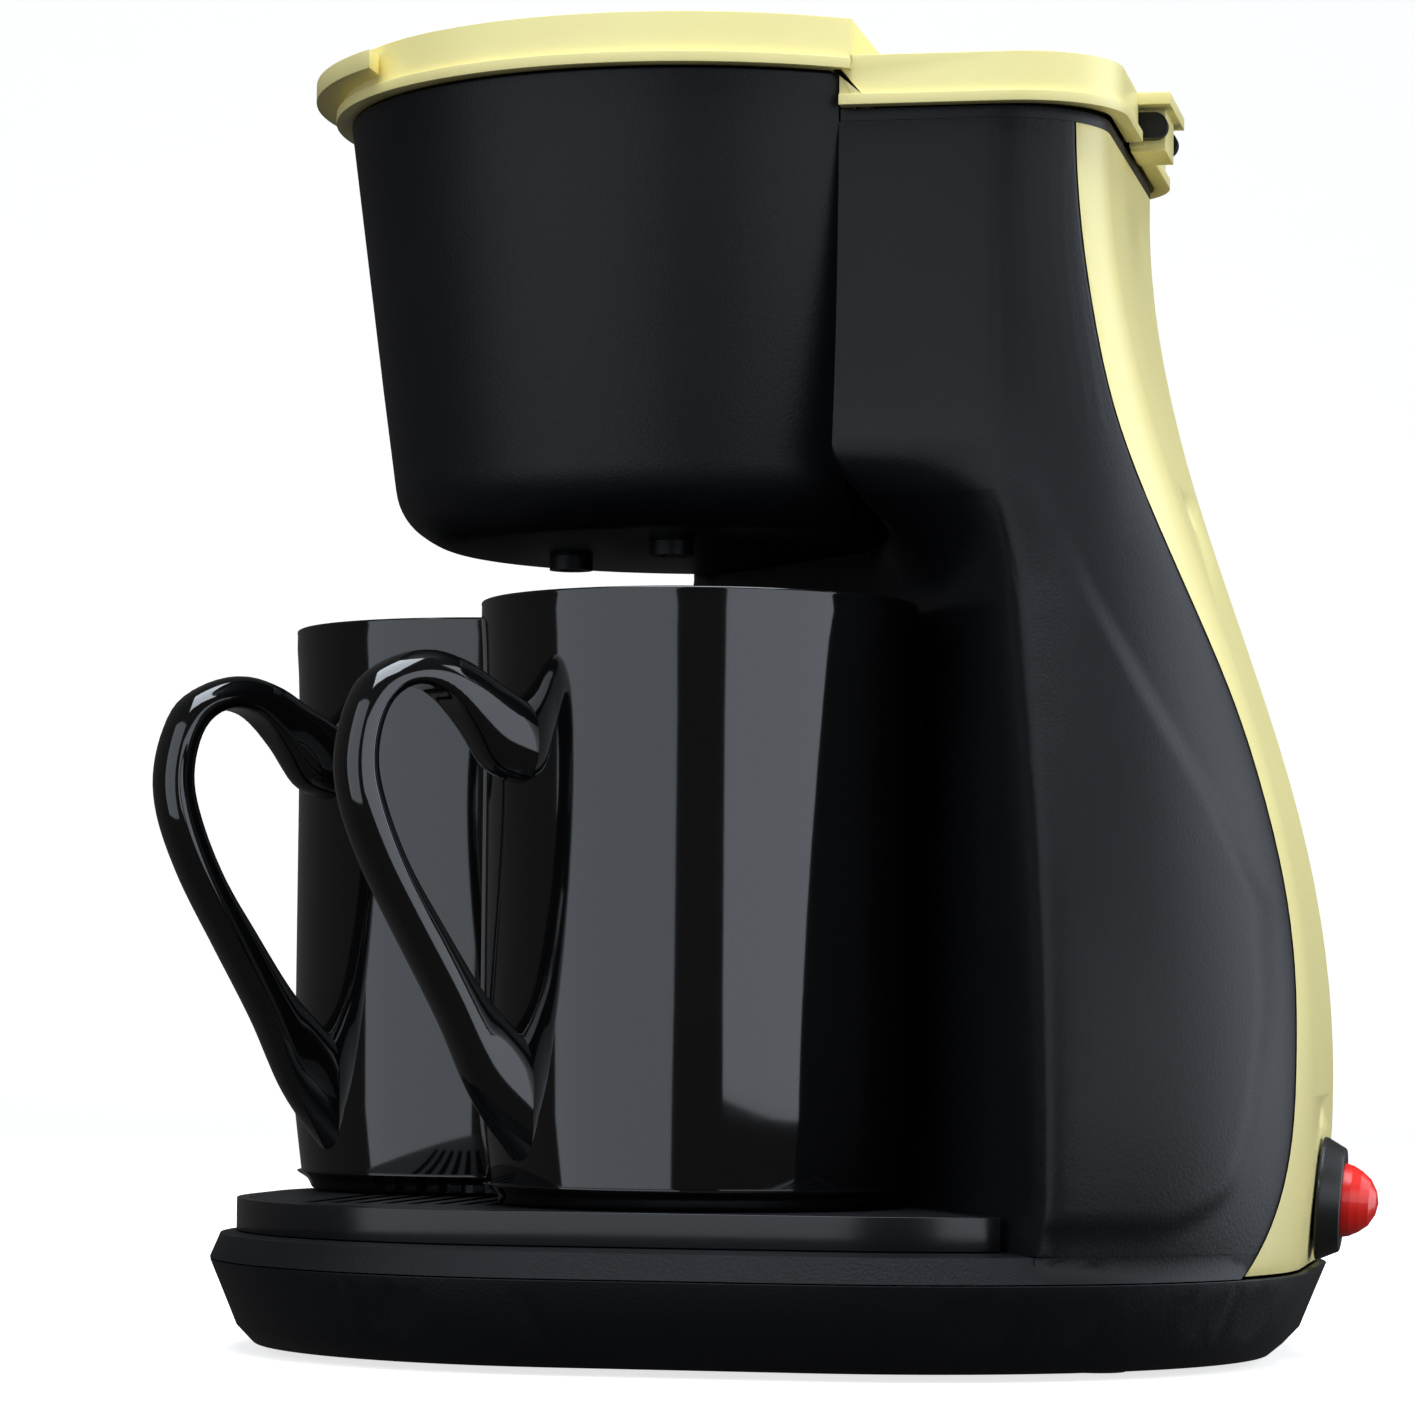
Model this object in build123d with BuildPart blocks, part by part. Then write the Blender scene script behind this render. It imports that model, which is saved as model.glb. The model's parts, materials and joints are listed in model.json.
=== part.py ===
from build123d import *
import math
import os

# Two-cup drip coffee maker, millimetres.
# +Z up, front of the lid towards -Y, origin on the resting plane under the middle of the base.

# ---- driving dimensions ----
SEAM_Z = 15.2               # joint between base plate and housing
DECK_Z = 19.4               # flat deck that carries the drip tray
BASE_HALF_X = 88.5          # base outline at the seam
BASE_HALF_Y = 92.9
BASE_CORNER = 73.0          # corner radius of the base outline
BASE_WALL = 2.2
FOOT_HEIGHT = 1.2

WALL = 2.4                  # tower wall
TOWER_TOP = 202.4
SHOULDER_Z = 141.0          # the tower narrows to its upper part here
FRONT_Y = 18.0              # front wall of the upper tower
COVER_GAP = 0.2
TANK_RIM_TOP = 204.4

BUCKET_Y = -15.0            # axis of the round brew chamber
BUCKET_TOP = 210.2
BUCKET_FLOOR = 136.8
BUCKET_R_TOP = 60.6
BUCKET_R_LOW = 52.4
BUCKET_R_FLAT = 41.5
BUCKET_WALL = 2.2

LID_R = 62.2
LID_TOP = 219.0
LID_EDGE = 210.5
LID_REAR_HALF = 51.2
LID_REAR_Y = 63.0
LID_REAR_TOP = 213.0
LID_REAR_EDGE = 204.7
LID_WALL = 2.0
HINGE_Y = 65.6
HINGE_Z = 207.8
HINGE_PIN_R = 1.4
EAR_R = 2.2

TRAY_Z = DECK_Z + 0.2
TRAY_TOP = 25.0
TRAY_HALF_X = 70.0
TRAY_HALF_Y = 87.0
TRAY_Y = -4.0

MUG_R = 35.8
MUG_RIM_R = 36.7
MUG_TOP = 124.8
MUG_WALL = 3.2
MUG_FLOOR = 4.0
MUG_BASE_Z = TRAY_TOP + 0.3
MUG_NEAR = (32.2, -7.8)
MUG_FAR = (-24.3, -55.5)
HANDLE_DIR = (0.720, -0.694)
OUTLET_NEAR = (18.5, -15.5)
OUTLET_FAR = (-6.0, -38.5)
OUTLET_R = 3.8

SWITCH_Z = 26.8
SWITCH_Y = 92.4
SWITCH_TILT = 4.5           # the button looks slightly down, square to the rear cover

# Tower stations: height, half width, centre y, rear y, corner radius of the outline.
TOWER = [
    (15.4, 85.0, 4.0, 91.0, 66.0),
    (50.0, 81.5, 7.0, 93.5, 58.0),
    (90.0, 72.0, 12.0, 88.2, 50.0),
    (130.0, 59.0, 18.0, 75.5, 34.0),
    (165.0, 51.6, 21.0, 64.8, 22.0),
    (205.0, 49.6, 22.0, 60.6, 18.0),
]

# Back wall of the cup bay, seen from above: it runs across the machine behind both mugs.
BAY_WALL = [(-150.0, -112.2), (14.0, 25.8), (66.0, 50.0), (150.0, 82.0)]

# Mug handle in side view: distance from the mug's axis, height.
HANDLE_WIDTH = 8.6
HANDLE_OUTER = [
    (34.5, 106.5), (40.0, 109.6), (46.0, 113.0), (53.0, 114.6), (60.0, 113.0), (66.0, 108.5),
    (69.2, 99.0), (68.6, 90.0), (64.0, 79.0), (56.5, 66.5), (49.0, 54.0), (42.5, 41.5), (34.5, 34.0),
]
HANDLE_INNER = [
    (34.5, 93.5), (41.0, 95.5), (45.5, 101.5), (50.0, 107.0), (56.0, 108.6), (61.0, 105.5),
    (63.3, 98.0), (62.0, 90.5), (57.5, 80.5), (51.0, 71.0), (44.0, 61.5), (34.5, 53.5),
]

# Edge of the rear cover in side view: (y, z) from its top to its foot.
COVER_EDGE = [
    (56.0, 203.0), (57.0, 185.0), (59.2, 170.0), (62.6, 155.0), (68.4, 139.0), (75.2, 123.0),
    (81.4, 107.5), (86.2, 92.0), (89.4, 78.0), (91.2, 64.0), (91.6, 50.0), (90.6, 34.0),
    (88.2, 24.0), (83.0, 14.0),
]


def level_face(half_x, half_y, centre_y, corner, height):
    """A level rounded face, a section of the body."""
    with BuildSketch(Plane.XY.offset(height)) as sketch:
        with Locations((0, centre_y)):
            RectangleRounded(2 * half_x, 2 * half_y, corner)
    return sketch.sketch


def polygon_prism(points, low, high):
    """An upright prism over a polygon."""
    with BuildPart() as prism:
        with BuildSketch(Plane.XY.offset(low)):
            with BuildLine():
                Polyline(*points, close=True)
            make_face()
        extrude(amount=high - low)
    return prism.part


def tower_body(inset):
    """The tower's whole flared body, pulled in by inset."""
    faces = []
    for z, half_x, centre_y, rear_y, corner in TOWER:
        half_y = rear_y - centre_y
        faces.append(level_face(half_x - inset, half_y - inset, centre_y, corner - inset, z))
    return loft(faces)


def bay_region(setback, low, high):
    """Everything behind the bay wall, moved back by setback."""
    points = [(x, y + setback) for x, y in BAY_WALL] + [(150.0, 200.0), (-150.0, 200.0)]
    return polygon_prism(points, low, high)


def block(x0, x1, y0, y1, z0, z1):
    """A plain block between two corners, kept out of the part being built."""
    box = Box(x1 - x0, y1 - y0, z1 - z0, mode=Mode.PRIVATE)
    return Pos((x0 + x1) / 2, (y0 + y1) / 2, (z0 + z1) / 2) * box


def rod(x, y, z0, z1, radius):
    """A plain upright cylinder, kept out of the part being built."""
    return Pos(x, y, (z0 + z1) / 2) * Cylinder(radius, z1 - z0, mode=Mode.PRIVATE)


def finish(builder, name):
    builder.part.label = name
    export_step(builder.part, "parts/" + name + ".step")


def base_loft(low_shrink, low_z, high_shrink, high_z):
    """A tapered slab between two shrunken copies of the base outline."""
    faces = []
    for cut, z in [(low_shrink, low_z), (high_shrink, high_z)]:
        faces.append(level_face(BASE_HALF_X - cut, BASE_HALF_Y - cut, 0, BASE_CORNER - cut, z))
    return loft(faces, ruled=True)


def tube_along(points, radius, outer, inner, name):
    """A hose along straight runs joined by tangent arcs."""
    start = Vector(*points[0])
    heading = (Vector(*points[1]) - start).normalized()
    with BuildPart() as tube:
        with BuildLine():
            FilletPolyline(*points, radius=radius)
        with BuildSketch(Plane(origin=start, z_dir=heading)):
            Circle(outer)
            if inner > 0:
                Circle(inner, mode=Mode.SUBTRACT)
        sweep()
    finish(tube, name)
    return tube.part


def mug(centre, name):
    """A straight ceramic mug with a small rim flare and an ear-shaped handle."""
    x, y = centre
    side = Plane(origin=(x, y, 0), x_dir=(HANDLE_DIR[0], HANDLE_DIR[1], 0), z_dir=(HANDLE_DIR[1], -HANDLE_DIR[0], 0))
    z0 = MUG_BASE_Z
    with BuildPart() as body:
        with BuildSketch(side):
            with BuildLine():
                outer = Spline((MUG_R, MUG_TOP - 16), (MUG_R + 0.15, MUG_TOP - 7), (MUG_RIM_R, MUG_TOP - 0.6),
                               tangents=[(0, 1), (0.25, 1)])
                Polyline((MUG_RIM_R, MUG_TOP - 0.6), (MUG_RIM_R - 0.8, MUG_TOP), (MUG_RIM_R - 2.2, MUG_TOP),
                         (MUG_R - MUG_WALL, MUG_TOP - 5), (MUG_R - MUG_WALL, z0 + MUG_FLOOR + 3),
                         (MUG_R - MUG_WALL - 3, z0 + MUG_FLOOR), (0, z0 + MUG_FLOOR), (0, z0 + 1.4),
                         (28.5, z0 + 1.4), (29.5, z0), (32.6, z0), (33.0, z0 + 1.6), (MUG_R, z0 + 3.2),
                         (MUG_R, MUG_TOP - 16))
            make_face()
        revolve(axis=Axis((x, y, 0), (0, 0, 1)))
    with BuildPart() as handle:
        with BuildSketch(side.offset(-HANDLE_WIDTH / 2)):
            with BuildLine():
                Spline(*HANDLE_OUTER)
                Spline(*HANDLE_INNER)
                Line(HANDLE_OUTER[0], HANDLE_INNER[0])
                Line(HANDLE_OUTER[-1], HANDLE_INNER[-1])
            make_face()
        extrude(amount=HANDLE_WIDTH)
        fillet(handle.edges().filter_by(GeomType.BSPLINE), 2.0)
    with BuildPart() as whole:
        add(body.part)
        add(handle.part - rod(x, y, 0, 200, MUG_R - 1.0))
    finish(whole, name)


def bucket_solid(shrink, floor, top):
    """The brew chamber's body: straight taper, rounded corner, cone, flat floor, flat back."""
    slope = (BUCKET_R_TOP - BUCKET_R_LOW) / (BUCKET_TOP - 148.0)
    low_r = BUCKET_R_LOW - shrink
    with BuildPart() as body:
        with BuildSketch(Plane.XZ.offset(-BUCKET_Y)):
            with BuildLine():
                Polyline(
                    (0, floor), (BUCKET_R_FLAT - shrink, floor), (low_r - 3.2, floor + 5.2),
                    (low_r, 148.0), (low_r + slope * (top - 148.0), top), (0, top), close=True)
            make_face()
        revolve(axis=Axis((0, BUCKET_Y, 0), (0, 0, 1)))
        add(block(-100, 100, FRONT_Y - shrink, 100, 100, 250), mode=Mode.SUBTRACT)
    return body.part


def chamber_slice(gap, low, high):
    """A level slice that fits inside the brew chamber with a gap all round."""
    slope = (BUCKET_R_TOP - BUCKET_R_LOW) / (BUCKET_TOP - 148.0)
    radius = BUCKET_R_LOW + slope * (low - 148.0) - BUCKET_WALL - gap
    return rod(0, BUCKET_Y, low, high, radius) & block(-100, 100, -100, FRONT_Y - BUCKET_WALL - gap, low, high)


# ---- base plate: the lower shell, tapering in to a rounded foot edge ----
BOSSES = [(-58, -50), (58, -50), (-58, 50), (58, 50)]
FEET = [(-56, -34), (56, -34), (-44, 60), (44, 60)]
foot_slab = base_loft(7.5, FOOT_HEIGHT, 4.6, FOOT_HEIGHT + 3.0)
wall_slab = base_loft(4.6, FOOT_HEIGHT + 3.0, 0, SEAM_Z)
base_hollow = base_loft(7.6, FOOT_HEIGHT + 2.4, BASE_WALL, SEAM_Z + 0.1)
with BuildPart() as base_plate:
    add(foot_slab)
    add(wall_slab)
    add(base_hollow, mode=Mode.SUBTRACT)
    for x, y in BOSSES:
        add(rod(x, y, FOOT_HEIGHT, 10.0, 4.5))
        add(rod(x, y, FOOT_HEIGHT, 6.0, 3.2), mode=Mode.SUBTRACT)
        add(rod(x, y, 5.0, 11.0, 1.7), mode=Mode.SUBTRACT)
    for x, y in FEET:
        add(rod(x, y, 0.5, 2.2, 5.1), mode=Mode.SUBTRACT)
    add(Pos(-84, 34.0, 9.4) * Rot(0, 90, 0) * Cylinder(4.4, 14, mode=Mode.PRIVATE), mode=Mode.SUBTRACT)
finish(base_plate, "base_plate")

# ---- four rubber feet in shallow pockets ----
with BuildPart() as rubber_feet:
    for x, y in FEET:
        with BuildSketch(Plane.XY):
            with Locations((x, y)):
                Circle(5.0)
        extrude(amount=2.2)
finish(rubber_feet, "rubber_feet")

# ---- housing: deck and flared tower as one moulding ----
with BuildPart() as cover_zone:
    with BuildSketch(Plane.YZ.offset(-120)):
        with BuildLine():
            Spline(*COVER_EDGE)
            Polyline(COVER_EDGE[-1], (140, 14.0), (140, 203.0), COVER_EDGE[0])
        make_face()
    extrude(amount=240)

tower_outer = tower_body(0)
tower_inner = tower_body(WALL)
outer_low = tower_outer & bay_region(0, SEAM_Z + 0.2, SHOULDER_Z)
outer_high = tower_outer & block(-100, 100, FRONT_Y, 200, SHOULDER_Z, TOWER_TOP)
inner_low = tower_inner & bay_region(WALL * 1.3, SEAM_Z, SHOULDER_Z - WALL)
inner_high = tower_inner & block(-100, 100, FRONT_Y + WALL, 200, SHOULDER_Z + WALL, TOWER_TOP + 1)
passage_body = tower_inner & bay_region(WALL * 1.3, SHOULDER_Z - WALL - 1, SHOULDER_Z + WALL + 1)
passage = passage_body & block(-100, 100, FRONT_Y + WALL, 200, SHOULDER_Z - WALL - 1, SHOULDER_Z + WALL + 1)
chamber_room = bucket_solid(-0.05, BUCKET_FLOOR - 0.05, BUCKET_TOP + 1)
deck_slab = base_loft(0, SEAM_Z + 0.2, 1.7, DECK_Z)
deck_hollow = base_loft(BASE_WALL, SEAM_Z, BASE_WALL + 1.0, DECK_Z - 2.0)

with BuildPart() as tower_shell:
    add(outer_low)
    add(outer_high)
    add(inner_low, mode=Mode.SUBTRACT)
    add(inner_high, mode=Mode.SUBTRACT)
    add(passage, mode=Mode.SUBTRACT)
    add(chamber_room, mode=Mode.SUBTRACT)

with BuildPart() as housing:
    add(deck_slab)
    add(deck_hollow, mode=Mode.SUBTRACT)
    add(inner_low, mode=Mode.SUBTRACT)
    add(tower_shell.part)
    add(cover_zone.part, mode=Mode.SUBTRACT)
    for x, y in BOSSES:
        add(rod(x, y, 10.2, DECK_Z - 1.0, 4.0))
        add(rod(x, y, 10.0, 16.0, 1.25), mode=Mode.SUBTRACT)
    add(block(-79.0, -61.5, 49.0, 51.0, SEAM_Z + 0.2, DECK_Z - 1.0))
finish(housing, "housing")

# ---- rear cover: the coloured panel down the back of the tower ----
cover_body = tower_shell.part & (Pos(0, COVER_GAP, 0) * cover_zone.part)
switch_hole = Pos(0, SWITCH_Y, SWITCH_Z) * Rot(90 - SWITCH_TILT, 0, 0) * Cylinder(7.1, 20)
with BuildPart() as rear_cover:
    add(cover_body)
    add(switch_hole, mode=Mode.SUBTRACT)
    add(block(-100, 100, 0, 200, 0, SEAM_Z + 0.5), mode=Mode.SUBTRACT)
finish(rear_cover, "rear_cover")

# ---- brew chamber: the round bucket in front of the tower ----
chamber_body = bucket_solid(0, BUCKET_FLOOR, BUCKET_TOP)
chamber_hollow = bucket_solid(BUCKET_WALL, BUCKET_FLOOR + BUCKET_WALL, BUCKET_TOP + 1)
with BuildPart() as brew_chamber:
    add(chamber_body)
    add(chamber_hollow, mode=Mode.SUBTRACT)
    for x, y in [OUTLET_NEAR, OUTLET_FAR]:
        add(rod(x, y, 130, 145, 3.0), mode=Mode.SUBTRACT)
    add(block(12, 36, 10, 30, TANK_RIM_TOP + 0.3, 212), mode=Mode.SUBTRACT)
finish(brew_chamber, "brew_chamber")

# ---- the two coffee outlets under the chamber ----
for centre, name in [(OUTLET_NEAR, "outlet_near"), (OUTLET_FAR, "outlet_far")]:
    with BuildPart() as outlet:
        add(rod(centre[0], centre[1], 134.4, BUCKET_FLOOR - 0.02, OUTLET_R))
        add(rod(centre[0], centre[1], BUCKET_FLOOR - 0.02, BUCKET_FLOOR + 3.0, 2.95))
        add(rod(centre[0], centre[1], 130, 145, 2.1), mode=Mode.SUBTRACT)
    finish(outlet, name)

# ---- filter basket hanging in the chamber, its mesh filter and grip ----
FILTER_Y = -24.0
FILTER_TOP = 201.0


def cone_cup(top_r, low_r, top_z, low_z, wall):
    """A tapered cup, open at the top."""
    with BuildPart() as cup:
        with BuildSketch(Plane.XZ.offset(-FILTER_Y)):
            with BuildLine():
                Polyline((0, low_z), (low_r, low_z), (top_r, top_z), (top_r - wall, top_z),
                         (low_r - wall, low_z + wall), (0, low_z + wall), close=True)
            make_face()
        revolve(axis=Axis((0, FILTER_Y, 0), (0, 0, 1)))
    return cup.part


basket_cup = cone_cup(37.6, 24.0, FILTER_TOP, 152.0, 1.6)
mesh_cup = cone_cup(35.6, 22.0, FILTER_TOP - 0.6, 154.2, 0.8)
with BuildPart() as filter_basket:
    add(basket_cup)
    add(chamber_slice(1.0, FILTER_TOP - 2.0, FILTER_TOP))
    add(rod(0, FILTER_Y, FILTER_TOP - 3, FILTER_TOP + 1, 36.0), mode=Mode.SUBTRACT)
    add(rod(0, FILTER_Y, 140, 155, 4.0), mode=Mode.SUBTRACT)
finish(filter_basket, "filter_basket")

# brackets inside the chamber that the basket's flange rests on
with BuildPart() as filter_ledge:
    add(chamber_slice(0.02, FILTER_TOP - 4.4, FILTER_TOP - 2.05))
    add(rod(0, FILTER_Y + 4, FILTER_TOP - 6, FILTER_TOP, 44.0), mode=Mode.SUBTRACT)
finish(filter_ledge, "filter_ledge")

with BuildPart() as mesh_filter:
    add(mesh_cup)
    with BuildSketch(Plane.XY.offset(FILTER_TOP - 0.6)):
        with Locations((0, FILTER_Y)):
            Circle(35.8)
            Circle(33.6, mode=Mode.SUBTRACT)
    extrude(amount=1.6)
finish(mesh_filter, "mesh_filter")

with BuildPart() as filter_grip:
    with BuildSketch(Plane.XY.offset(FILTER_TOP + 1.15)):
        with Locations((0, FILTER_Y)):
            SlotOverall(72, 7)
            SlotOverall(58, 3.4, mode=Mode.SUBTRACT)
    extrude(amount=1.8)
finish(filter_grip, "filter_grip")

# ---- tank rim: the black collar with the hinge ears ----
TANK_POCKET = (-42.0, 28.8, 21.6, 52.0)
TANK_LOW = (-40.8, 28.8, 37.4, 63.6)
RISER = (40.0, 46.5)
rim_face_y = 22.0
with BuildPart() as tank_rim:
    with BuildSketch(Plane.XY.offset(TOWER_TOP + 0.02)):
        with Locations((0, rim_face_y)):
            RectangleRounded(2 * 49.6, 2 * 38.5, 18.0)
    extrude(amount=TANK_RIM_TOP - TOWER_TOP - 0.02)
    add(block(-100, 100, -100, FRONT_Y + 0.3, 200, 210), mode=Mode.SUBTRACT)
    x0, x1, y0, y1 = TANK_POCKET
    add(block(x0 - 0.1, x1 + 0.1, y0 - 0.1, y1 + 0.1, 200, 210), mode=Mode.SUBTRACT)
    add(rod(RISER[0], RISER[1], 200, 210, 4.6), mode=Mode.SUBTRACT)
    for side in (-1, 1):
        ear_x = side * 8.9
        add(Pos(ear_x, HINGE_Y, HINGE_Z) * Rot(0, 90, 0) * Cylinder(EAR_R, 3.0, mode=Mode.PRIVATE))
        add(block(ear_x - 1.5, ear_x + 1.5, 57.2, HINGE_Y, HINGE_Z - EAR_R, HINGE_Z + EAR_R))
        add(block(ear_x - 1.5, ear_x + 1.5, 57.2, 60.2, TOWER_TOP + 0.1, HINGE_Z))
    add(Pos(0, HINGE_Y, HINGE_Z) * Rot(0, 90, 0) * Cylinder(HINGE_PIN_R + 0.02, 40, mode=Mode.PRIVATE),
        mode=Mode.SUBTRACT)
finish(tank_rim, "tank_rim")

with BuildPart() as hinge_pin:
    add(Pos(0, HINGE_Y, HINGE_Z) * Rot(0, 90, 0) * Cylinder(HINGE_PIN_R, 20.8, mode=Mode.PRIVATE))
finish(hinge_pin, "hinge_pin")

# ---- water tank: a deep pocket, stepped back over the cup bay ----
TANK_WALL = 1.8
TANK_FLOOR_Z = 78.4
TANK_STEP_Z = 143.7
TANK_NOZZLE = (0.0, 58.0)
with BuildPart() as water_tank:
    x0, x1, y0, y1 = TANK_POCKET
    add(block(x0, x1, y0, y1, TANK_STEP_Z, TANK_RIM_TOP - 0.2))
    u0, u1, v0, v1 = TANK_LOW
    add(block(u0, u1, v0, v1, TANK_FLOOR_Z, 146.0))
    add(block(x0 + TANK_WALL, x1 - TANK_WALL, y0 + TANK_WALL, y1 - TANK_WALL, TANK_STEP_Z + TANK_WALL, 210),
        mode=Mode.SUBTRACT)
    add(block(u0 + TANK_WALL, u1 - TANK_WALL, v0 + TANK_WALL, y1 - TANK_WALL, TANK_FLOOR_Z + TANK_WALL, 160),
        mode=Mode.SUBTRACT)
    add(block(u0 + TANK_WALL, u1 - TANK_WALL, v0 + TANK_WALL, v1 - TANK_WALL, TANK_FLOOR_Z + TANK_WALL,
              TANK_STEP_Z), mode=Mode.SUBTRACT)
    add(rod(TANK_NOZZLE[0], TANK_NOZZLE[1], 73.0, TANK_FLOOR_Z, 3.4))
    add(rod(TANK_NOZZLE[0], TANK_NOZZLE[1], 70, TANK_FLOOR_Z + 3, 2.2), mode=Mode.SUBTRACT)
finish(water_tank, "water_tank")

with BuildPart() as tank_seal:
    add(rod(TANK_NOZZLE[0], TANK_NOZZLE[1], TANK_FLOOR_Z - 2.2, TANK_FLOOR_Z - 0.05, 6.2))
    add(rod(TANK_NOZZLE[0], TANK_NOZZLE[1], 70, TANK_FLOOR_Z, 3.42), mode=Mode.SUBTRACT)
finish(tank_seal, "tank_seal")

# ---- water heater: bent tube with its sheathed element on top ----
HEAT_Z = 27.0
HEAT_X = (-40.0, 8.0)
HEAT_Y = (36.0, 58.0)
ELEMENT_Z = HEAT_Z + 10.0


def u_path(z):
    x0, x1 = HEAT_X
    y0, y1 = HEAT_Y
    reach = (y1 - y0) / 2
    Line((x1, y0, z), (x0, y0, z))
    ThreePointArc((x0, y0, z), (x0 - reach, (y0 + y1) / 2, z), (x0, y1, z))
    Line((x0, y1, z), (x1, y1, z))


with BuildPart() as boiler_tube:
    with BuildLine():
        u_path(HEAT_Z)
    with BuildSketch(Plane(origin=(HEAT_X[1], HEAT_Y[0], HEAT_Z), z_dir=(-1, 0, 0))):
        Circle(6.0)
        Circle(4.2, mode=Mode.SUBTRACT)
    sweep()
finish(boiler_tube, "boiler_tube")

with BuildPart() as heating_element:
    with BuildLine():
        u_path(ELEMENT_Z)
    with BuildSketch(Plane(origin=(HEAT_X[1], HEAT_Y[0], ELEMENT_Z), z_dir=(-1, 0, 0))):
        Circle(3.3)
    sweep()
    for y in HEAT_Y:
        add(Pos(HEAT_X[1] + 4, y, ELEMENT_Z) * Rot(0, 90, 0) * Cylinder(1.2, 8, mode=Mode.PRIVATE))
finish(heating_element, "heating_element")

with BuildPart() as heater_clamps:
    for y in HEAT_Y:
        add(block(-19, -13, y - 8, y + 8, HEAT_Z - 9.0, ELEMENT_Z + 5.0))
        add(Pos(-16, y, HEAT_Z) * Rot(0, 90, 0) * Cylinder(6.05, 10, mode=Mode.PRIVATE), mode=Mode.SUBTRACT)
        add(Pos(-16, y, ELEMENT_Z) * Rot(0, 90, 0) * Cylinder(3.35, 10, mode=Mode.PRIVATE),
            mode=Mode.SUBTRACT)
finish(heater_clamps, "heater_clamps")

with BuildPart() as heater_bracket:
    add(block(-34, 2, HEAT_Y[0] - 9, HEAT_Y[1] + 9, 16.6, 17.9))
    for x in (-30, -2):
        for y in (HEAT_Y[0] - 4, HEAT_Y[1] + 4):
            add(rod(x, y, FOOT_HEIGHT + 2.45, 16.6, 2.6))
finish(heater_bracket, "heater_bracket")

mid_y = (HEAT_Y[0] + HEAT_Y[1]) / 2
strap_z = ELEMENT_Z + 3.35
with BuildPart() as thermostat:
    add(block(-37, -23, HEAT_Y[0] - 3, HEAT_Y[1] + 3, strap_z, strap_z + 1.0))
    add(rod(-30, mid_y, strap_z + 1.0, strap_z + 7.5, 8.4))
    for side in (-1, 1):
        add(block(-30.4, -29.6, mid_y + side * 5 - 2.4, mid_y + side * 5 + 2.4, strap_z + 7.5, strap_z + 14))
finish(thermostat, "thermostat")

with BuildPart() as thermal_fuse:
    add(block(-10, 2, HEAT_Y[0] - 3, HEAT_Y[1] + 3, strap_z, strap_z + 0.8))
    add(Pos(-4, mid_y, strap_z + 2.8) * Rot(90, 0, 0) * Cylinder(2.2, 16, mode=Mode.PRIVATE))
    for side in (-1, 1):
        add(Pos(-4, mid_y + side * 10, strap_z + 2.8) * Rot(90, 0, 0) * Cylinder(0.6, 5, mode=Mode.PRIVATE))
finish(thermal_fuse, "thermal_fuse")

# ---- water circuit: check valve, cold hose, hot riser hose and clips ----
valve_y = HEAT_Y[1]
with BuildPart() as check_valve:
    with BuildSketch(Plane.YZ.offset(HEAT_X[1] + 0.1)):
        with Locations((valve_y, HEAT_Z)):
            Circle(6.8)
            Circle(3.0, mode=Mode.SUBTRACT)
    extrude(amount=13)
    with BuildSketch(Plane.YZ.offset(HEAT_X[1] + 13.1)):
        with Locations((valve_y, HEAT_Z)):
            Circle(4.4)
            Circle(3.0, mode=Mode.SUBTRACT)
    extrude(amount=4)
finish(check_valve, "check_valve")

tube_along([(25.2, valve_y, HEAT_Z), (36, valve_y, HEAT_Z), (36, valve_y, 60), (0, valve_y, 60),
            (0, valve_y, 72.9)],
           6.0, 4.4, 3.0, "cold_hose")
tube_along([(8.1, HEAT_Y[0], HEAT_Z), (17, 36.2, HEAT_Z), (28, 44, 34), (48, 52, 56), (48, 52, 108),
            (RISER[0], RISER[1], 142), (RISER[0], RISER[1], TANK_RIM_TOP + 0.2)], 8.0, 4.4, 3.0, "riser_hose")

with BuildPart() as hose_clips:
    for x, y, z, turn in [(28, valve_y, HEAT_Z, 90), (RISER[0], RISER[1], 190, 0), (RISER[0], RISER[1], 160, 0)]:
        ring = Pos(x, y, z) * Rot(0, turn, 0) * Cylinder(5.5, 3.5, mode=Mode.PRIVATE)
        hole = Pos(x, y, z) * Rot(0, turn, 0) * Cylinder(4.45, 6, mode=Mode.PRIVATE)
        add(ring - hole)
finish(hose_clips, "hose_clips")

# ---- spray arm: carries the hot water over the filter ----
arm_low = TANK_RIM_TOP + 0.5
water_channel = polygon_prism([(RISER[0] + 4, RISER[1] + 3), (RISER[0] - 4.5, RISER[1] + 4), (-3.5, -22),
                               (3.5, -27)], arm_low + 1.4, arm_low + 3.4)
with BuildPart() as spray_arm:
    with BuildSketch(Plane.XY.offset(arm_low)):
        with BuildLine():
            Polyline((RISER[0] + 6, RISER[1] + 4), (RISER[0] - 6, RISER[1] + 6), (-6, -22), (4, -30), close=True)
        make_face()
    extrude(amount=4.6)
    add(water_channel, mode=Mode.SUBTRACT)
    add(rod(RISER[0], RISER[1], arm_low - 1, arm_low + 2, 3.0), mode=Mode.SUBTRACT)
    add(rod(0, FILTER_Y, arm_low - 1, arm_low + 2, 2.6), mode=Mode.SUBTRACT)
finish(spray_arm, "spray_arm")

# ---- drip tray and its ribbed grille, cut to the bay wall ----
bay_front = [(x, y - 1.6) for x, y in BAY_WALL] + [(150.0, -200.0), (-150.0, -200.0)]


def tray_body(inset, low, high):
    face = level_face(TRAY_HALF_X - inset, TRAY_HALF_Y - inset, TRAY_Y, 62.0 - inset, low)
    cut = [(x, y - inset * 1.3) for x, y in bay_front[:4]] + bay_front[4:]
    return extrude(face, high - low, mode=Mode.PRIVATE) & polygon_prism(cut, low, high)


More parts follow.
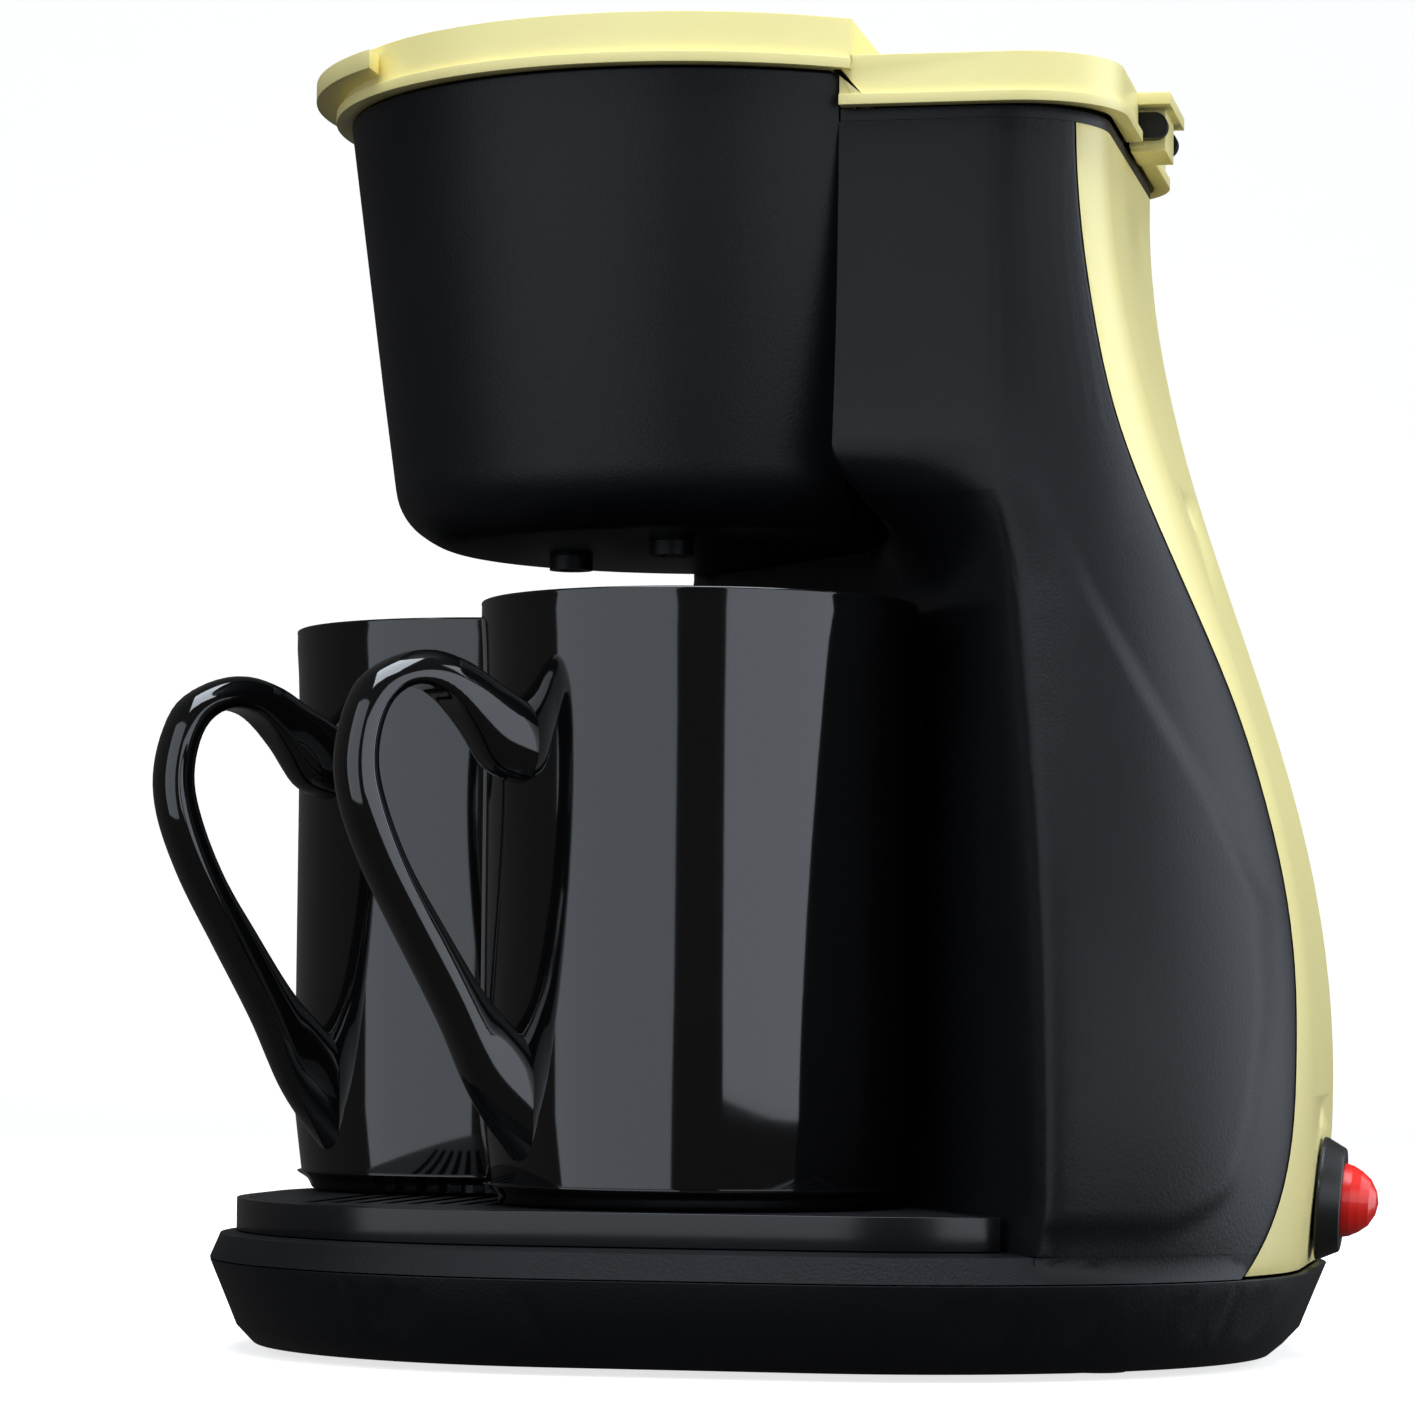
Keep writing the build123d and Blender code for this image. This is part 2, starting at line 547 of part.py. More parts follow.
tray_outer = tray_body(0, TRAY_Z, TRAY_TOP)
tray_hollow = tray_body(2.2, TRAY_Z + 1.6, TRAY_TOP + 1)
with BuildPart() as drip_tray:
    add(tray_outer)
    add(tray_hollow, mode=Mode.SUBTRACT)
    with BuildSketch(Plane.XY.offset(TRAY_Z + 1.6)):
        with Locations((-20, -30), (30, -30), (10, -66), (0, 4)):
            Rectangle(20, 3)
    extrude(amount=TRAY_TOP - 1.7 - TRAY_Z - 1.6)
finish(drip_tray, "drip_tray")

grille_face = tray_body(2.4, TRAY_TOP - 1.6, TRAY_TOP)
with BuildPart() as grille:
    add(grille_face)
    with BuildSketch(Plane.XY.offset(TRAY_TOP - 2)):
        with Locations((0, -24)):
            with GridLocations(0, 4.4, 1, 22):
                SlotOverall(92, 2.2)
    extrude(amount=3, mode=Mode.SUBTRACT)
finish(grille, "grille")

# ---- the two mugs ----
mug(MUG_NEAR, "mug_near")
mug(MUG_FAR, "mug_far")

# ---- lid: taller round front over the chamber, lower rear over the tank ----
STEP_Y = 18.3


def lid_front(radius, low, high, rear):
    with BuildPart() as disc:
        with BuildSketch(Plane.XY.offset(low)):
            with Locations((0, BUCKET_Y)):
                Circle(radius)
        extrude(amount=high - low)
        add(block(-100, 100, rear, 100, low - 1, high + 1), mode=Mode.SUBTRACT)
    return disc.part


def lid_rear(inset, low, high, front):
    half_y = (LID_REAR_Y + 20) / 2
    face = level_face(LID_REAR_HALF - inset, half_y - inset, LID_REAR_Y - half_y, 17.0 - inset, low)
    return extrude(face, high - low, mode=Mode.PRIVATE) & block(-100, 100, front, 100, low, high)


lip = rod(0, BUCKET_Y, 214.0, 217.2, LID_R + 4.6) & Pos(0, -82, 216) * Box(100, 40, 10)
clip_block = block(-6.8, 6.8, LID_REAR_Y - 1.8, HINGE_Y + 1.6, HINGE_Z - 3.9, LID_REAR_TOP)
clip_tab = block(-12.6, 12.6, LID_REAR_Y - 1.8, HINGE_Y + 2.9, HINGE_Z + 3.1, LID_REAR_TOP)
front_disc = lid_front(LID_R, LID_EDGE, LID_TOP, STEP_Y + LID_WALL)
front_bead = lid_front(LID_R + 1.1, LID_EDGE, LID_EDGE + 1.8, STEP_Y + LID_WALL)
front_hollow = lid_front(LID_R - LID_WALL, LID_EDGE - 1, LID_TOP - LID_WALL, STEP_Y)
rear_slab = lid_rear(0, LID_REAR_EDGE, LID_REAR_TOP, STEP_Y)
rear_bead = lid_rear(-0.8, LID_REAR_EDGE, LID_REAR_EDGE + 1.8, STEP_Y)
rear_hollow = lid_rear(LID_WALL, LID_REAR_EDGE - 1, LID_REAR_TOP - LID_WALL, STEP_Y + LID_WALL)
with BuildPart() as lid:
    add(front_disc)
    add(front_bead)
    add(lip)
    add(rear_slab)
    add(rear_bead)
    add(front_hollow, mode=Mode.SUBTRACT)
    add(rear_hollow, mode=Mode.SUBTRACT)
    add(block(-46, 46, 10, 26, LID_REAR_EDGE - 1, LID_REAR_TOP - LID_WALL), mode=Mode.SUBTRACT)
    for side in (-1, 1):
        add(block(side * 9.2 - 2.2, side * 9.2 + 2.2, 60.0, 68.0, 203, HINGE_Z + 3.1), mode=Mode.SUBTRACT)
    add(clip_block)
    add(clip_tab)
    add(Pos(0, HINGE_Y, HINGE_Z) * Rot(0, 90, 0) * Cylinder(HINGE_PIN_R + 0.05, 40, mode=Mode.PRIVATE),
        mode=Mode.SUBTRACT)
finish(lid, "lid")

# ---- switch in the foot of the rear cover ----
SWITCH = Plane(origin=(0, SWITCH_Y, SWITCH_Z), x_dir=(1, 0, 0),
               z_dir=(0, math.cos(math.radians(SWITCH_TILT)), -math.sin(math.radians(SWITCH_TILT))))
SWITCH_SIDE = Plane(origin=SWITCH.origin, x_dir=(1, 0, 0), z_dir=-SWITCH.y_dir)
SWITCH_AXIS = Axis(SWITCH.origin, SWITCH.z_dir)


def turned(points, name):
    """A round piece about the switch axis, from (radius, height) points."""
    with BuildPart() as piece:
        with BuildSketch(Plane(origin=SWITCH.origin, x_dir=SWITCH.x_dir, z_dir=-SWITCH.y_dir)):
            with BuildLine():
                Polyline(*points, close=True)
            make_face()
        revolve(axis=SWITCH_AXIS)
    finish(piece, name)


turned([(6.27, -3.3), (7.0, -3.3), (7.0, 0.5), (10.3, 0.5), (10.3, 1.1), (8.6, 4.5), (6.27, 4.5)],
       "switch_bezel")
turned([(6.5, -3.4), (8.8, -3.7), (8.8, -20), (2.1, -20), (2.1, -12), (6.5, -12)], "switch_body")
with BuildPart() as switch_button:
    with BuildSketch(Plane(origin=SWITCH.origin, x_dir=SWITCH.x_dir, z_dir=-SWITCH.y_dir)):
        with BuildLine():
            Polyline((0, 10.4), (0, -10.0), (1.8, -10.0), (1.8, -4.0), (6.2, -4.0), (6.2, 4.6), (5.9, 5.9), (5.1, 7.4),
                     (3.9, 8.9), (2.0, 10.0), close=True)
        make_face()
    revolve(axis=SWITCH_AXIS)
finish(switch_button, "switch_button")

with BuildPart() as button_spring:
    for turn in range(4):
        with BuildSketch(Plane(origin=SWITCH.origin, x_dir=SWITCH.x_dir, z_dir=-SWITCH.y_dir)):
            with Locations((4.2, -11.6 + turn * 1.3)):
                Circle(0.4)
        revolve(axis=SWITCH_AXIS)
finish(button_spring, "button_spring")

with BuildPart() as switch_terminals:
    for side in (-1, 1):
        with BuildSketch(SWITCH.offset(-27)):
            with Locations((side * 4.5, 0)):
                Rectangle(0.8, 4.8)
        extrude(amount=6.95)
finish(switch_terminals, "switch_terminals")

# ---- wiring in the foot ----
with BuildPart() as terminal_block:
    add(block(-66, -46, 14, 26, FOOT_HEIGHT + 2.45, 12.5))
    for x in (-61, -51):
        add(rod(x, 20, 8, 13, 2.2), mode=Mode.SUBTRACT)
finish(terminal_block, "terminal_block")

with BuildPart() as terminal_screws:
    for x in (-61, -51):
        add(rod(x, 20, 8.05, 11.6, 2.1))
finish(terminal_screws, "terminal_screws")

tube_along([(-50, 26.2, 9), (-50, 74, 9), (-16, 74, 9), (-16, 68, 28.6), (-5.0, 68, 28.6)], 3.0, 1.0, 0,
           "switch_wire")
tube_along([(-61, 26.2, 9), (-61, 38, 9), (-56, 40, 50), (-36, 50, 58), (-31.5, mid_y + 5, 52.5)], 3.0, 1.0, 0,
           "thermostat_wire")

# ---- bush where the supply cord would enter; no cord is fitted ----
GLAND_Y = 34.0
GLAND_Z = 9.4
with BuildPart() as cord_bush:
    add(Pos(-82.8, GLAND_Y, GLAND_Z) * Rot(0, 90, 0) * Cylinder(4.3, 9.6, mode=Mode.PRIVATE))
    add(Pos(-78.2, GLAND_Y, GLAND_Z) * Rot(0, 90, 0) * Cylinder(5.2, 1.4, mode=Mode.PRIVATE))
    add(Pos(-83.4, GLAND_Y, GLAND_Z) * Rot(0, 90, 0) * Cylinder(3.2, 30, mode=Mode.PRIVATE), mode=Mode.SUBTRACT)
finish(cord_bush, "cord_bush")

# ---- four screws that hold the base plate to the housing ----
with BuildPart() as base_screws:
    for x, y in BOSSES:
        add(rod(x, y, 4.1, 5.95, 2.9))
        add(rod(x, y, 5.95, 15.0, 1.2))
finish(base_screws, "base_screws")
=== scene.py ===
import bpy
import bmesh
import json
import math
from mathutils import Matrix, Vector
from mathutils.bvhtree import BVHTree


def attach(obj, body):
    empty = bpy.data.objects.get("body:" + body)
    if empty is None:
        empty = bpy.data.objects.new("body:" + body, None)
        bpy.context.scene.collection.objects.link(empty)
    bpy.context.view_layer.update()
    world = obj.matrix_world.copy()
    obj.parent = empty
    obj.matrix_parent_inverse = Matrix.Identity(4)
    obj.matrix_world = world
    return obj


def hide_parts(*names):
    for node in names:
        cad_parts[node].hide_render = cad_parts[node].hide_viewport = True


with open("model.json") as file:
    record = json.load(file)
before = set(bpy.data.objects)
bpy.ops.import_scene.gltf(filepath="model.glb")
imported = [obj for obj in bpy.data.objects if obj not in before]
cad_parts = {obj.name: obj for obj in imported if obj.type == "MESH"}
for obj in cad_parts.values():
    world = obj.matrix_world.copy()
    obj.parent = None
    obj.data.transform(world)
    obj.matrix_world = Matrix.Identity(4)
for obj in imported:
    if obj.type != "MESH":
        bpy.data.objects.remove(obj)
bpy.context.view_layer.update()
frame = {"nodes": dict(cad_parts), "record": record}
nodes = frame["nodes"]
MM = 0.001


# ---------------------------------------------------------------- materials

COAT_ROUGH = 0.04
MOTTLE_SCALE = 45.0
ROUGH_SPREAD = 0.15
BUMP_DEPTH = 0.25 * MM
BRUSH_STRETCH = (1.0, 1.0, 0.06)
GAUZE_SCALE = 350.0


def material(name, colour, rough, grain=0.0, grain_size=0.4, mottle=0.12, metal=0.0, coat=0.0, brushed=False,
             shine=0.5):
    """Moulded, glazed or metal finish: fine grain in the bump and the roughness, slow variation in colour."""
    mat = bpy.data.materials.new(name)
    mat.use_nodes = True
    tree = mat.node_tree
    shader = tree.nodes["Principled BSDF"]
    shader.inputs["Metallic"].default_value = metal
    shader.inputs["Specular IOR Level"].default_value = shine
    shader.inputs["Coat Weight"].default_value = coat
    shader.inputs["Coat Roughness"].default_value = COAT_ROUGH
    place = tree.nodes.new("ShaderNodeTexCoord")
    slow = tree.nodes.new("ShaderNodeTexNoise")
    slow.inputs["Scale"].default_value = MOTTLE_SCALE
    slow.inputs["Detail"].default_value = 4.0
    fine = tree.nodes.new("ShaderNodeTexNoise")
    fine.inputs["Scale"].default_value = 1.0 / (grain_size * MM)
    fine.inputs["Detail"].default_value = 2.0
    if brushed:
        stretch = tree.nodes.new("ShaderNodeMapping")
        stretch.inputs["Scale"].default_value = BRUSH_STRETCH
        tree.links.new(place.outputs["Object"], stretch.inputs["Vector"])
        tree.links.new(stretch.outputs["Vector"], fine.inputs["Vector"])
    else:
        tree.links.new(place.outputs["Object"], fine.inputs["Vector"])
    tree.links.new(place.outputs["Object"], slow.inputs["Vector"])
    ramp = tree.nodes.new("ShaderNodeValToRGB")
    ramp.color_ramp.elements[0].position = 0.3
    ramp.color_ramp.elements[1].position = 0.7
    ramp.color_ramp.elements[0].color = tuple(c * (1.0 - mottle) for c in colour) + (1.0,)
    ramp.color_ramp.elements[1].color = tuple(min(1.0, c * (1.0 + mottle)) for c in colour) + (1.0,)
    tree.links.new(slow.outputs["Fac"], ramp.inputs["Fac"])
    tree.links.new(ramp.outputs["Color"], shader.inputs["Base Color"])
    spread = tree.nodes.new("ShaderNodeMapRange")
    spread.inputs["To Min"].default_value = max(0.02, rough * (1.0 - ROUGH_SPREAD))
    spread.inputs["To Max"].default_value = min(1.0, rough * (1.0 + ROUGH_SPREAD))
    tree.links.new(fine.outputs["Fac"], spread.inputs["Value"])
    tree.links.new(spread.outputs["Result"], shader.inputs["Roughness"])
    bump = tree.nodes.new("ShaderNodeBump")
    bump.inputs["Strength"].default_value = grain
    bump.inputs["Distance"].default_value = BUMP_DEPTH
    tree.links.new(fine.outputs["Fac"], bump.inputs["Height"])
    tree.links.new(bump.outputs["Normal"], shader.inputs["Normal"])
    return mat


BLACK = material("black_textured_plastic", (0.0062, 0.0066, 0.0085), 0.43, grain=0.2, grain_size=0.55,
                 shine=0.26)
YELLOW = material("pale_yellow_plastic", (1.0, 0.87, 0.37), 0.36, grain=0.05, grain_size=0.7, mottle=0.02)
CERAMIC = material("black_glaze", (0.0035, 0.0035, 0.0038), 0.075, grain=0.03, grain_size=6.0, coat=0.6)
GLOSS = material("tray_gloss_plastic", (0.008, 0.008, 0.009), 0.2, grain=0.04, grain_size=2.0)
RIBS = material("grille_plastic", (0.010, 0.010, 0.011), 0.38, grain=0.12, grain_size=0.6)
RED = material("red_button", (1.0, 0.020, 0.013), 0.33, grain=0.03, grain_size=1.2, coat=0.2)
SWITCH = material("switch_plastic", (0.014, 0.014, 0.015), 0.4, grain=0.1, grain_size=0.6)
RUBBER = material("rubber_feet", (0.012, 0.012, 0.012), 0.8, grain=0.3, grain_size=0.9)
SILICONE = material("silicone_hose", (0.72, 0.70, 0.64), 0.45, grain=0.05, grain_size=1.2, mottle=0.06)
WHITE = material("white_plastic", (0.74, 0.73, 0.69), 0.45, grain=0.08, grain_size=0.6, mottle=0.04)
TANK = material("tank_plastic", (0.02, 0.02, 0.022), 0.35, grain=0.08, grain_size=0.8)
ALUMINIUM = material("cast_aluminium", (0.62, 0.62, 0.64), 0.42, grain=0.3, grain_size=0.5, metal=1.0)
STEEL = material("plain_steel", (0.52, 0.52, 0.54), 0.3, grain=0.08, grain_size=0.3, metal=1.0, brushed=True)
SPRING = material("spring_steel", (0.58, 0.58, 0.61), 0.22, grain=0.05, grain_size=0.3, metal=1.0)
BRASS = material("brass_tab", (0.72, 0.52, 0.20), 0.32, grain=0.06, grain_size=0.4, metal=1.0, brushed=True)
WIRE = material("wire_insulation", (0.28, 0.03, 0.025), 0.42, grain=0.06, grain_size=0.8)


def mesh_material():
    """Woven steel gauze: a fine grid of holes seen in colour, over the fine grain in the bump."""
    mat = material("steel_gauze", (0.45, 0.45, 0.46), 0.35, grain=0.1, grain_size=0.3, metal=1.0)
    tree = mat.node_tree
    shader = tree.nodes["Principled BSDF"]
    place = tree.nodes.new("ShaderNodeTexCoord")
    waves = []
    for direction in ("X", "Z"):
        wave = tree.nodes.new("ShaderNodeTexWave")
        wave.bands_direction = direction
        wave.inputs["Scale"].default_value = GAUZE_SCALE
        tree.links.new(place.outputs["Object"], wave.inputs["Vector"])
        waves.append(wave)
    both = tree.nodes.new("ShaderNodeMath")
    both.operation = "MAXIMUM"
    tree.links.new(waves[0].outputs["Fac"], both.inputs[0])
    tree.links.new(waves[1].outputs["Fac"], both.inputs[1])
    ramp = tree.nodes.new("ShaderNodeValToRGB")
    ramp.color_ramp.elements[0].color = (0.05, 0.05, 0.05, 1.0)
    ramp.color_ramp.elements[1].color = (0.55, 0.55, 0.56, 1.0)
    tree.links.new(both.outputs["Value"], ramp.inputs["Fac"])
    tree.links.new(ramp.outputs["Color"], shader.inputs["Base Color"])
    return mat


GAUZE = mesh_material()

FINISH = {
    "base_plate": BLACK, "brew_chamber": BLACK, "outlet_near": BLACK, "outlet_far": BLACK, "tank_rim": BLACK,
    "housing": BLACK, "rear_cover": YELLOW, "lid": YELLOW, "rubber_feet": RUBBER, "filter_basket": BLACK,
    "filter_ledge": BLACK, "mesh_filter": GAUZE, "filter_grip": BLACK, "hinge_pin": BLACK, "water_tank": TANK,
    "tank_seal": SILICONE, "boiler_tube": ALUMINIUM, "heating_element": ALUMINIUM, "heater_clamps": STEEL,
    "heater_bracket": STEEL, "thermostat": STEEL, "thermal_fuse": WHITE, "check_valve": WHITE,
    "cold_hose": SILICONE, "riser_hose": SILICONE, "hose_clips": SPRING, "spray_arm": BLACK,
    "drip_tray": GLOSS, "grille": RIBS, "mug_near": CERAMIC, "mug_far": CERAMIC,
    "switch_bezel": SWITCH, "switch_body": SWITCH,
    "switch_button": RED, "button_spring": SPRING, "switch_terminals": BRASS, "terminal_block": WHITE,
    "terminal_screws": STEEL, "switch_wire": WIRE, "thermostat_wire": WIRE, "cord_bush": RUBBER,
    "base_screws": STEEL,
}
BODY = {n: b for b, ns in frame["record"]["behaviour"]["bodies"].items() for n in ns}


def smooth(obj, angle=32.0):
    """Shades the piece smooth and keeps edges sharper than the angle."""
    mesh = obj.data
    mesh.shade_smooth()
    mesh.set_sharp_from_angle(angle=math.radians(angle))


for name, obj in nodes.items():
    obj.data.materials.clear()
    obj.data.materials.append(FINISH[name])
    smooth(obj)


def piece(name, bm, mat, cad, hide=True, angle=32.0):
    """Makes an object of a bmesh, gives it a finish, and lets it ride on the CAD node's body."""
    mesh = bpy.data.meshes.new(name)
    bmesh.ops.recalc_face_normals(bm, faces=bm.faces)
    bm.to_mesh(mesh)
    bm.free()
    obj = bpy.data.objects.new(name, mesh)
    bpy.context.scene.collection.objects.link(obj)
    mesh.materials.append(mat)
    smooth(obj, angle)
    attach(obj, BODY[cad])
    if hide:
        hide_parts(cad)
    return obj


def apply_all(obj):
    """Bakes the piece's modifiers into its mesh."""
    graph = bpy.context.evaluated_depsgraph_get()
    baked = bpy.data.meshes.new_from_object(obj.evaluated_get(graph))
    obj.modifiers.clear()
    obj.data = baked


def cad_copy(node):
    """A clean bmesh of a CAD node: welded, with its flat faces merged."""
    bm = bmesh.new()
    bm.from_mesh(nodes[node].data)
    bmesh.ops.remove_doubles(bm, verts=bm.verts, dist=1e-6)
    bmesh.ops.dissolve_limit(bm, angle_limit=math.radians(0.6), verts=bm.verts, edges=bm.edges)
    return bm


def soften(obj, width, angle=28.0, steps=3):
    """Rounds the piece's moulded edges."""
    bevel = obj.modifiers.new("edge", "BEVEL")
    bevel.width = width * MM
    bevel.segments = steps
    bevel.limit_method = "ANGLE"
    bevel.angle_limit = math.radians(angle)
    bevel.harden_normals = False
    apply_all(obj)
    smooth(obj, 40.0)


def cut(obj, *tools):
    """Takes the tools' volumes out of the piece."""
    for tool in tools:
        change = obj.modifiers.new("cut", "BOOLEAN")
        change.operation = "DIFFERENCE"
        change.solver = "EXACT"
        change.object = tool
    apply_all(obj)
    for tool in tools:
        bpy.data.objects.remove(tool)


def tool_object(bm):
    """A bare object for cutting with."""
    mesh = bpy.data.meshes.new("tool")
    bm.to_mesh(mesh)
    bm.free()
    obj = bpy.data.objects.new("tool", mesh)
    bpy.context.scene.collection.objects.link(obj)
    return obj


def box_tool(low, high):
    """A box between two corners, in mm, for cutting with."""
    bm = bmesh.new()
    bmesh.ops.create_cube(bm, size=1.0)
    for v in bm.verts:
        v.co = Vector(((l + h) / 2 + c * (h - l)) * MM for l, h, c in zip(low, high, v.co))
    return tool_object(bm)


# ---------------------------------------------------------------- small shape helpers

def ease(a, b, x):
    """0 below a, 1 above b, and a smooth S between."""
    t = max(0.0, min(1.0, (x - a) / (b - a)))
    return t * t * (3.0 - 2.0 * t)


def between(table, x):
    """Straight interpolation in a list of (x, value)."""
    if x <= table[0][0]:
        return table[0][1]
    for (x0, v0), (x1, v1) in zip(table, table[1:]):
        if x <= x1:
            return v0 + (v1 - v0) * (x - x0) / (x1 - x0)
    return table[-1][1]


def spline(points, count):
    """A smooth curve through the points, at even steps of its length."""
    pts = [Vector(p).to_3d() for p in points]
    pts = [2 * pts[0] - pts[1]] + pts + [2 * pts[-1] - pts[-2]]
    dense = []
    for p0, p1, p2, p3 in zip(pts, pts[1:], pts[2:], pts[3:]):
        for i in range(24):
            t = i / 24
            dense.append(0.5 * ((2 * p1) + (p2 - p0) * t + (2 * p0 - 5 * p1 + 4 * p2 - p3) * t * t
                                + (3 * p1 - p0 - 3 * p2 + p3) * t ** 3))
    dense.append(pts[-2])
    return resample(dense, count)


def resample(line, count):
    """The same path with count points at even steps of its length."""
    at = [0.0]
    for a, b in zip(line, line[1:]):
        at.append(at[-1] + (b - a).length)
    out = []
    j = 0
    for i in range(count):
        s = at[-1] * i / (count - 1)
        while j < len(at) - 2 and at[j + 1] < s:
            j += 1
        span = at[j + 1] - at[j]
        t = 0.0 if span < 1e-12 else (s - at[j]) / span
        out.append(line[j].lerp(line[j + 1], t))
    return out


def grid(bm, rows, closed=False):
    """Quads between rows of points; returns the rows of vertices."""
    made = [[bm.verts.new(p) for p in row] for row in rows]
    for a, b in zip(made, made[1:]):
        for i in range(len(a) if closed else len(a) - 1):
            k = (i + 1) % len(a)
            bm.faces.new((a[i], a[k], b[k], b[i]))
    return made


def lathe(bm, profile, x, y, steps=160):
    """Turns a closed (radius, z) profile about an upright axis, in mm."""
    rows = []
    for i in range(steps):
        a = 2 * math.pi * i / steps
        rows.append([Vector((x + r * math.cos(a), y + r * math.sin(a), z)) * MM for r, z in profile])
    rows.append(rows[0])
    grid(bm, rows)
    bmesh.ops.remove_doubles(bm, verts=bm.verts, dist=2e-6)


def rounded_profile(points, steps=5):
    """Rounds the corners of a profile; each point is (radius, z, rounding)."""
    out = []
    n = len(points)
    for i, (r, z, size) in enumerate(points):
        here = Vector((r, z))
        if size <= 0:
            out.append(here)
            continue
        before = Vector(points[i - 1][:2])
        after = Vector(points[(i + 1) % n][:2])
        a = here + (before - here).normalized() * size
        b = here + (after - here).normalized() * size
        for k in range(steps + 1):
            t = k / steps
            out.append(a * (1 - t) ** 2 + here * (2 * t * (1 - t)) + b * t * t)
    return [(p.x, p.y) for p in out]


# ---------------------------------------------------------------- mugs

MUG_R, RIM_R, MUG_TOP, MUG_LOW = 35.8, 36.7, 124.8, 25.3
HANDLE_OUTER = [
    (33.5, 105.9), (40.0, 109.6), (46.0, 113.0), (53.0, 114.6), (60.0, 113.0), (66.0, 108.5),
    (69.2, 99.0), (68.6, 90.0), (64.0, 79.0), (56.5, 66.5), (49.0, 54.0), (42.5, 41.5), (33.5, 31.0),
]
HANDLE_INNER = [
    (33.5, 93.0), (41.0, 95.5), (45.5, 101.5), (50.0, 107.0), (56.0, 108.6), (61.0, 105.5),
    (63.3, 98.0), (62.0, 90.5), (57.5, 80.5), (51.0, 71.0), (44.0, 61.5), (38.2, 55.5), (33.5, 51.5),
]
HANDLE_DIR = Vector((0.720, -0.694, 0.0)).normalized()


def make_mug(node, x, y):
    """One mug on its CAD node's place: a turned cup, and a handle swept between its two outlines."""
    bm = bmesh.new()
    floor = MUG_LOW + 4.0
    inner = MUG_R - 3.2
    flare = [(MUG_R, 96.0), (MUG_R + 0.02, 104.0), (MUG_R + 0.1, 111.0), (MUG_R + 0.3, 117.0),
             (MUG_R + 0.6, 121.5)]
    outside = rounded_profile([(0, MUG_LOW + 1.4, 0), (28.4, MUG_LOW + 1.4, 0.6), (29.4, MUG_LOW, 0.5),
                               (32.4, MUG_LOW, 0.6), (33.2, MUG_LOW + 1.8, 0.6), (MUG_R, MUG_LOW + 3.4, 1.4)])
    inside = rounded_profile([(RIM_R, MUG_TOP, 0.9), (RIM_R - 2.4, MUG_TOP, 1.1), (inner, MUG_TOP - 7, 3.0),
                              (inner, floor, 3.5), (0, floor, 0)])
    lathe(bm, outside + [(MUG_R, z) for z in (40.0, 60.0, 80.0)] + flare + inside, x, y)
    piece(node + "_cup", bm, CERAMIC, node)
    steps, ring = 72, 28
    outer = spline(HANDLE_OUTER, steps)
    inner_line = spline(HANDLE_INNER, steps)
    across = Vector((-HANDLE_DIR.y, HANDLE_DIR.x, 0.0))
    bm = bmesh.new()
    rows = []
    for i, (o, n) in enumerate(zip(outer, inner_line)):
        mid, half = (o + n) / 2, (o - n) / 2
        t = i / (steps - 1)
        width = 4.25 + 1.5 * (1 - ease(0.0, 0.13, t)) + 1.2 * ease(0.88, 1.0, t)
        row = []
        for k in range(ring):
            a = 2 * math.pi * k / ring
            c, s = math.cos(a), math.sin(a)
            c = math.copysign(abs(c) ** 0.8, c)
            s = math.copysign(abs(s) ** 0.8, s)
            flat = mid + half * c
            row.append((Vector((x, y, 0)) + HANDLE_DIR * flat.x + across * (width * s)
                        + Vector((0, 0, flat.y))) * MM)
        rows.append(row)
    ends = grid(bm, rows, closed=True)
    bm.faces.new(ends[0])
    bm.faces.new(ends[-1])
    piece(node + "_handle", bm, CERAMIC, node, hide=False, angle=60)


make_mug("mug_near", 32.2, -7.8)
make_mug("mug_far", -24.3, -55.5)


# ---------------------------------------------------------------- tower

CENTRE = Vector((0.0, 44.0, 0.0))
SHOULDER, CLEAR_OF_IT = 141.0, 0.3
COVE_LOW, COVE_TOP = 125.6, 149.0
SKIN_LOW, SKIN_TOP, DECK_CUT = 19.45, 202.38, 19.43
OUTSIDE = 260.0
FRONT_Y = 18.05
CORNER_BLUR, UPPER_BLUR, BLUR_REACH = 5.5, 0.3, 2.6
CORNER_SHARES = (0.36, 0.64)
FLUSH = 0.12
FACE_PROUD, FACE_CORNER = 0.85, 11.0
LIP = 2.2


def tree_of(*names):
    """A tree for casting rays at the CAD nodes."""
    bm = bmesh.new()
    for name in names:
        bm.from_mesh(nodes[name].data)
    tree = BVHTree.FromBMesh(bm)
    bm.free()
    return tree


whole_tower = tree_of("housing", "rear_cover")
only_black = tree_of("housing")


def strike(tree, angle, z):
    """Where a level ray from outside first meets the tower, in mm."""
    way = Vector((math.cos(angle), math.sin(angle), 0.0))
    start = (CENTRE + way * OUTSIDE + Vector((0, 0, z))) * MM
    hit = tree.ray_cast(start, -way)[0]
    return None if hit is None else hit / MM


def tower_point(angle, z):
    """A point of the tower's outline; under the upper tower the bay wall curves out to meet it."""
    if z <= COVE_LOW or z >= COVE_TOP:
        return strike(whole_tower, angle, z)
    lower, upper = min(z, SHOULDER - CLEAR_OF_IT), max(z, SHOULDER + CLEAR_OF_IT)
    near = (strike(whole_tower, angle, lower) - CENTRE - Vector((0, 0, lower))).length
    far = (strike(whole_tower, angle, upper) - CENTRE - Vector((0, 0, upper))).length
    if far <= near:
        return strike(whole_tower, angle, z)
    reach = near + (far - near) * ease(COVE_LOW, COVE_TOP, z)
    return CENTRE + Vector((math.cos(angle) * reach, math.sin(angle) * reach, z))


